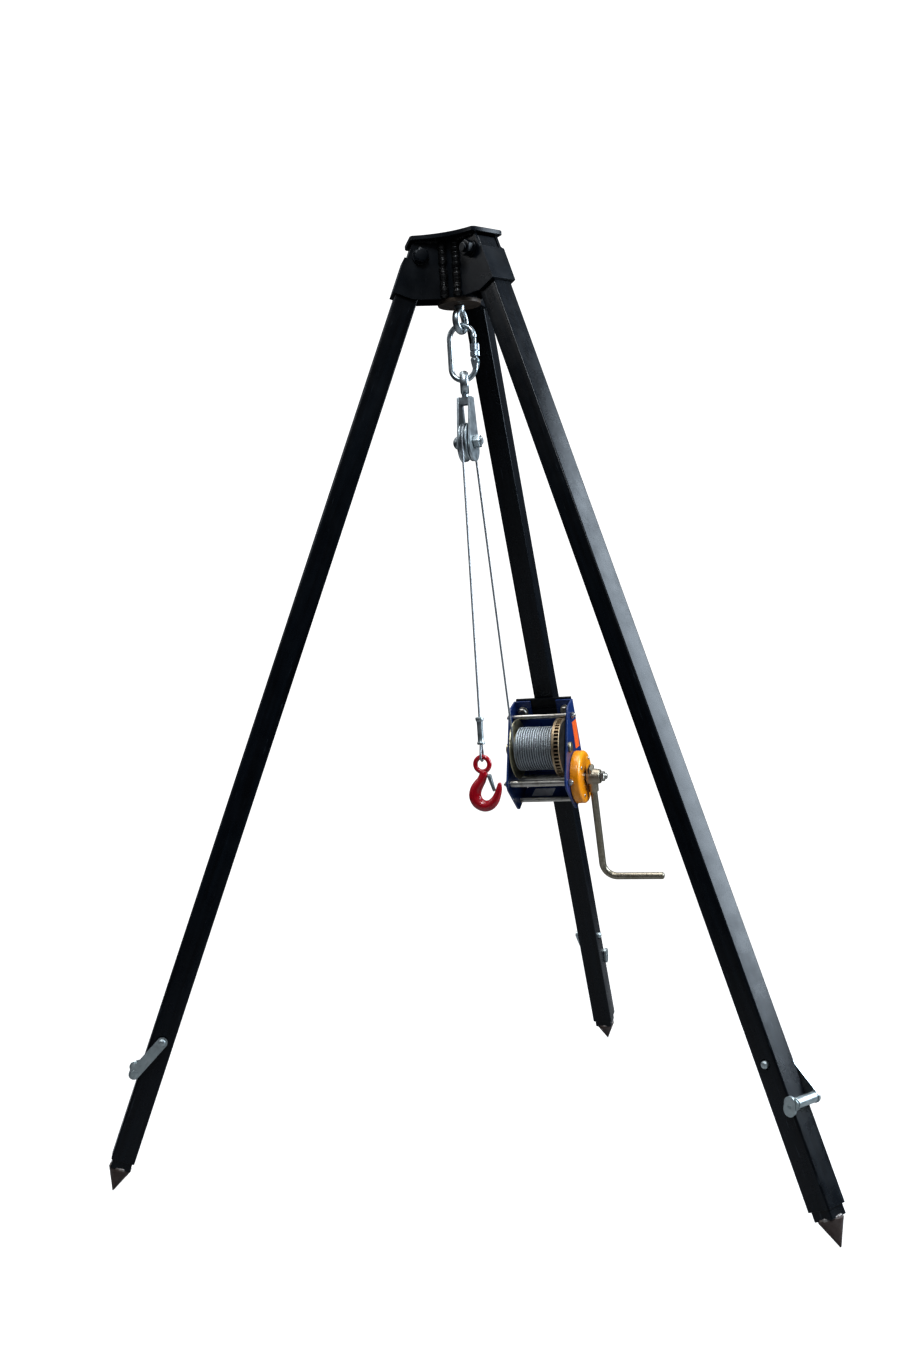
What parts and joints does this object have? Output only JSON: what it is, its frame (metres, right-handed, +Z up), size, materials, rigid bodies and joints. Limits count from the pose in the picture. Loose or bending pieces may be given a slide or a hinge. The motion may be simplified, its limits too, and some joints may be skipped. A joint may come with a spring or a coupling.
{
  "type": "gambrel hoist kit",
  "caption": "Folding tripod hoist: telescopic square legs with spiked feet, hand winch with gear drive, wire rope over a pulley block, oval carabiner and latched hook.",
  "frame": {"origin": "centre of the footprint's bounding box, at the height of the foot spikes' points", "axes": "+Z up; +Y towards the rear leg that carries the winch; +X towards the crank's side"},
  "size_m": [1.2176, 1.0591, 1.5948],
  "materials": {
    "black_paint": "semi-gloss near-black paint",
    "bare_steel": "bare steel darkened by heat and light rust",
    "zinc_plate": "bright zinc plate",
    "wire_rope": "galvanised stranded steel rope",
    "red_paint": "glossy red paint",
    "blue_paint": "semi-gloss blue paint",
    "yellow_paint": "glossy warm yellow paint",
    "yellow_zinc": "yellow-passivated zinc plate"
  },
  "bodies": {
    "root": {"top_plate": "black_paint", "centre_column": "black_paint", "bottom_disc": "bare_steel", "arm_rear": "black_paint", "arm_left": "black_paint", "arm_right": "black_paint", "pivot_bolt_rear": "black_paint", "pivot_bolt_left": "black_paint", "pivot_bolt_right": "black_paint", "lifting_eye": "zinc_plate", "rope_run": "wire_rope"},
    "rear_leg": {"leg_tube_rear": "black_paint", "winch_mount_plate": "black_paint", "winch_base": "blue_paint", "winch_side_left": "blue_paint", "winch_side_right": "blue_paint", "mount_bolt_left": "zinc_plate", "mount_bolt_right": "zinc_plate", "tie_rod_top": "zinc_plate", "tie_rod_front": "zinc_plate", "tie_rod_bottom": "zinc_plate", "drum_axle": "yellow_zinc", "brake_cover": "yellow_paint"},
    "rear_foot": {"inner_leg_rear": "black_paint", "foot_spike_rear": "bare_steel"},
    "rear_lock": {"lock_pin_rear": "zinc_plate"},
    "left_leg": {"leg_tube_left": "black_paint"},
    "left_foot": {"inner_leg_left": "black_paint", "foot_spike_left": "bare_steel"},
    "left_lock": {"lock_pin_left": "zinc_plate"},
    "right_leg": {"leg_tube_right": "black_paint"},
    "right_foot": {"inner_leg_right": "black_paint", "foot_spike_right": "bare_steel"},
    "right_lock": {"lock_pin_right": "zinc_plate"},
    "hoist_line": {"carabiner_body": "zinc_plate", "block_eye": "zinc_plate", "block_frame": "zinc_plate", "block_bolt": "zinc_plate", "block_nut": "zinc_plate", "rope_on_sheave": "wire_rope", "rope_fall": "wire_rope"},
    "gate": {"carabiner_gate": "zinc_plate"},
    "gate_sleeve": {"carabiner_sleeve": "zinc_plate"},
    "sheave": {"block_sheave": "zinc_plate"},
    "hook_line": {"rope_ferrule": "zinc_plate", "rope_eye_loop": "wire_rope"},
    "hook": {"hook_body": "red_paint"},
    "latch": {"hook_latch": "zinc_plate"},
    "drum": {"winch_drum": "yellow_zinc", "drum_gear": "yellow_zinc", "rope_winding": "wire_rope"},
    "crank": {"pinion_shaft": "zinc_plate", "pinion": "yellow_zinc", "ratchet_wheel": "bare_steel", "brake_disc": "bare_steel", "crank_hub": "yellow_zinc", "crank_nut": "zinc_plate", "crank_rod": "yellow_zinc"},
    "pawl": {"pawl": "bare_steel"}
  },
  "joints": [
    {"name": "rear_leg_fold", "type": "hinge", "parent": "root", "child": "rear_leg", "pos_m": [0, -0.09846, 1.561], "axis": [-1, 0, 0], "range_deg": [0, 8], "deforming": ["rope_run"]},
    {"name": "rear_foot_extend", "type": "slide", "parent": "rear_leg", "child": "rear_foot", "axis": [0, 0.372, -0.9282], "range_m": [0, 0.42]},
    {"name": "rear_lock_swing", "type": "hinge", "parent": "rear_leg", "child": "rear_lock", "pos_m": [0, 0.42794, 0.24756], "axis": [1, 0, 0], "range_deg": [0, 100]},
    {"name": "left_leg_fold", "type": "hinge", "parent": "root", "child": "left_leg", "pos_m": [-0.05906, -0.20076, 1.561], "axis": [0.5, -0.866, 0], "range_deg": [0, 12]},
    {"name": "left_foot_extend", "type": "slide", "parent": "left_leg", "child": "left_foot", "axis": [-0.3222, -0.186, -0.9282], "range_m": [0, 0.42]},
    {"name": "left_lock_swing", "type": "hinge", "parent": "left_leg", "child": "left_lock", "pos_m": [-0.51494, -0.46396, 0.24756], "axis": [-0.5, 0.866, 0], "range_deg": [0, 100]},
    {"name": "right_leg_fold", "type": "hinge", "parent": "root", "child": "right_leg", "pos_m": [0.05906, -0.20076, 1.561], "axis": [0.5, 0.866, 0], "range_deg": [0, 12]},
    {"name": "right_foot_extend", "type": "slide", "parent": "right_leg", "child": "right_foot", "axis": [0.3222, -0.186, -0.9282], "range_m": [0, 0.42]},
    {"name": "right_lock_swing", "type": "hinge", "parent": "right_leg", "child": "right_lock", "pos_m": [0.51494, -0.46396, 0.24756], "axis": [-0.5, -0.866, 0], "range_deg": [0, 100]},
    {"name": "hoist_line_swing", "type": "hinge", "parent": "root", "child": "hoist_line", "pos_m": [0, -0.16666, 1.4405], "axis": [0, 1, 0], "range_deg": [-5, 5], "deforming": ["rope_run"]},
    {"name": "carabiner_gate_swing", "type": "hinge", "parent": "hoist_line", "child": "gate", "pos_m": [0.02275, -0.16666, 1.38155], "axis": [0, -1, 0], "range_deg": [0, 25], "stiffness_Nm_per_rad": 0.05, "springref_deg": -28.65},
    {"name": "carabiner_sleeve_slide", "type": "slide", "parent": "gate", "child": "gate_sleeve", "axis": [0, 0, 1], "range_m": [0, 0.008]},
    {"name": "drum_turn", "type": "hinge", "parent": "rear_leg", "child": "drum", "pos_m": [0, 0.14707, 0.67419], "axis": [1, 0, 0], "range_deg": [0, 480]},
    {"name": "crank_turn", "type": "hinge", "parent": "rear_leg", "child": "crank", "pos_m": [0, 0.18547, 0.61187], "axis": [1, 0, 0], "range_deg": [-1472, 0]},
    {"name": "pawl_swing", "type": "hinge", "parent": "rear_leg", "child": "pawl", "pos_m": [0.066, 0.18804, 0.65653], "axis": [-1, 0, 0], "range_deg": [0, 6], "stiffness_Nm_per_rad": 0.02, "springref_deg": -28.65},
    {"name": "sheave_spin", "type": "hinge", "parent": "hoist_line", "child": "sheave", "pos_m": [0, -0.16666, 1.241], "axis": [-1, 0, 0], "range_deg": [0, 615]},
    {"name": "hook_lift", "type": "slide", "parent": "hoist_line", "child": "hook_line", "axis": [0, 0, 1], "range_m": [0, 0.34349], "deforming": ["rope_fall"]},
    {"name": "hook_swing", "type": "hinge", "parent": "hook_line", "child": "hook", "pos_m": [0, -0.19866, 0.6814], "axis": [0, 1, 0], "range_deg": [-30, 30]},
    {"name": "hook_latch_swing", "type": "hinge", "parent": "hook", "child": "latch", "pos_m": [0.0115, -0.19866, 0.6548], "axis": [0, 1, 0], "range_deg": [0, 30], "stiffness_Nm_per_rad": 0.02, "springref_deg": -28.65}
  ],
  "couplings": [
    {"joint": "crank_turn", "follows": "drum_turn", "ratio": -3.0667},
    {"joint": "sheave_spin", "follows": "drum_turn", "ratio": 1.2812},
    {"joint": "hook_lift", "follows": "drum_turn", "m_per_rad": 0.041}
  ]
}
